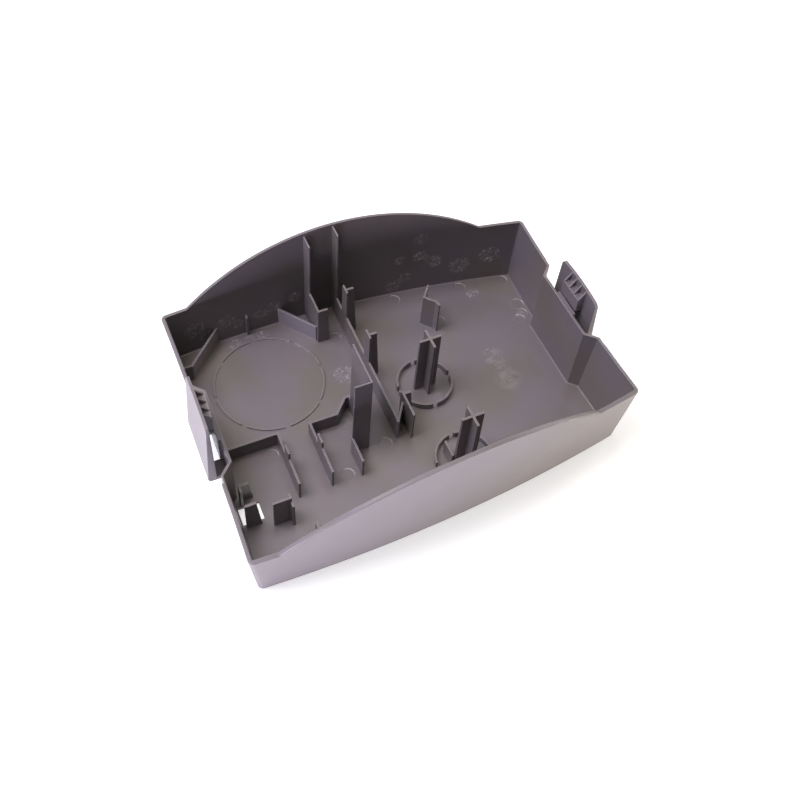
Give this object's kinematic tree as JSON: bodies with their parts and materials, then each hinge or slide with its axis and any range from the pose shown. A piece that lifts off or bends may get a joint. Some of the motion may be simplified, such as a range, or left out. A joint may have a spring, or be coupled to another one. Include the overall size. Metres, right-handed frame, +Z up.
{
  "type": "injection moulded housing",
  "caption": "Open moulded plastic tub housing with a crowned rim, snap latches, ring seats, cross posts and dividing ribs for the works of a small desk device.",
  "frame": {"origin": "middle of the outer bottom face", "axes": "+X along the length towards the narrow end, +Y towards the wall with the two tall fins, +Z up out of the open side"},
  "size_m": [0.2262, 0.1653, 0.075],
  "materials": {
    "moulded_plastic": "satin moulded, dark warm grey"
  },
  "bodies": {
    "root": {"housing": "moulded_plastic"}
  },
  "joints": []
}
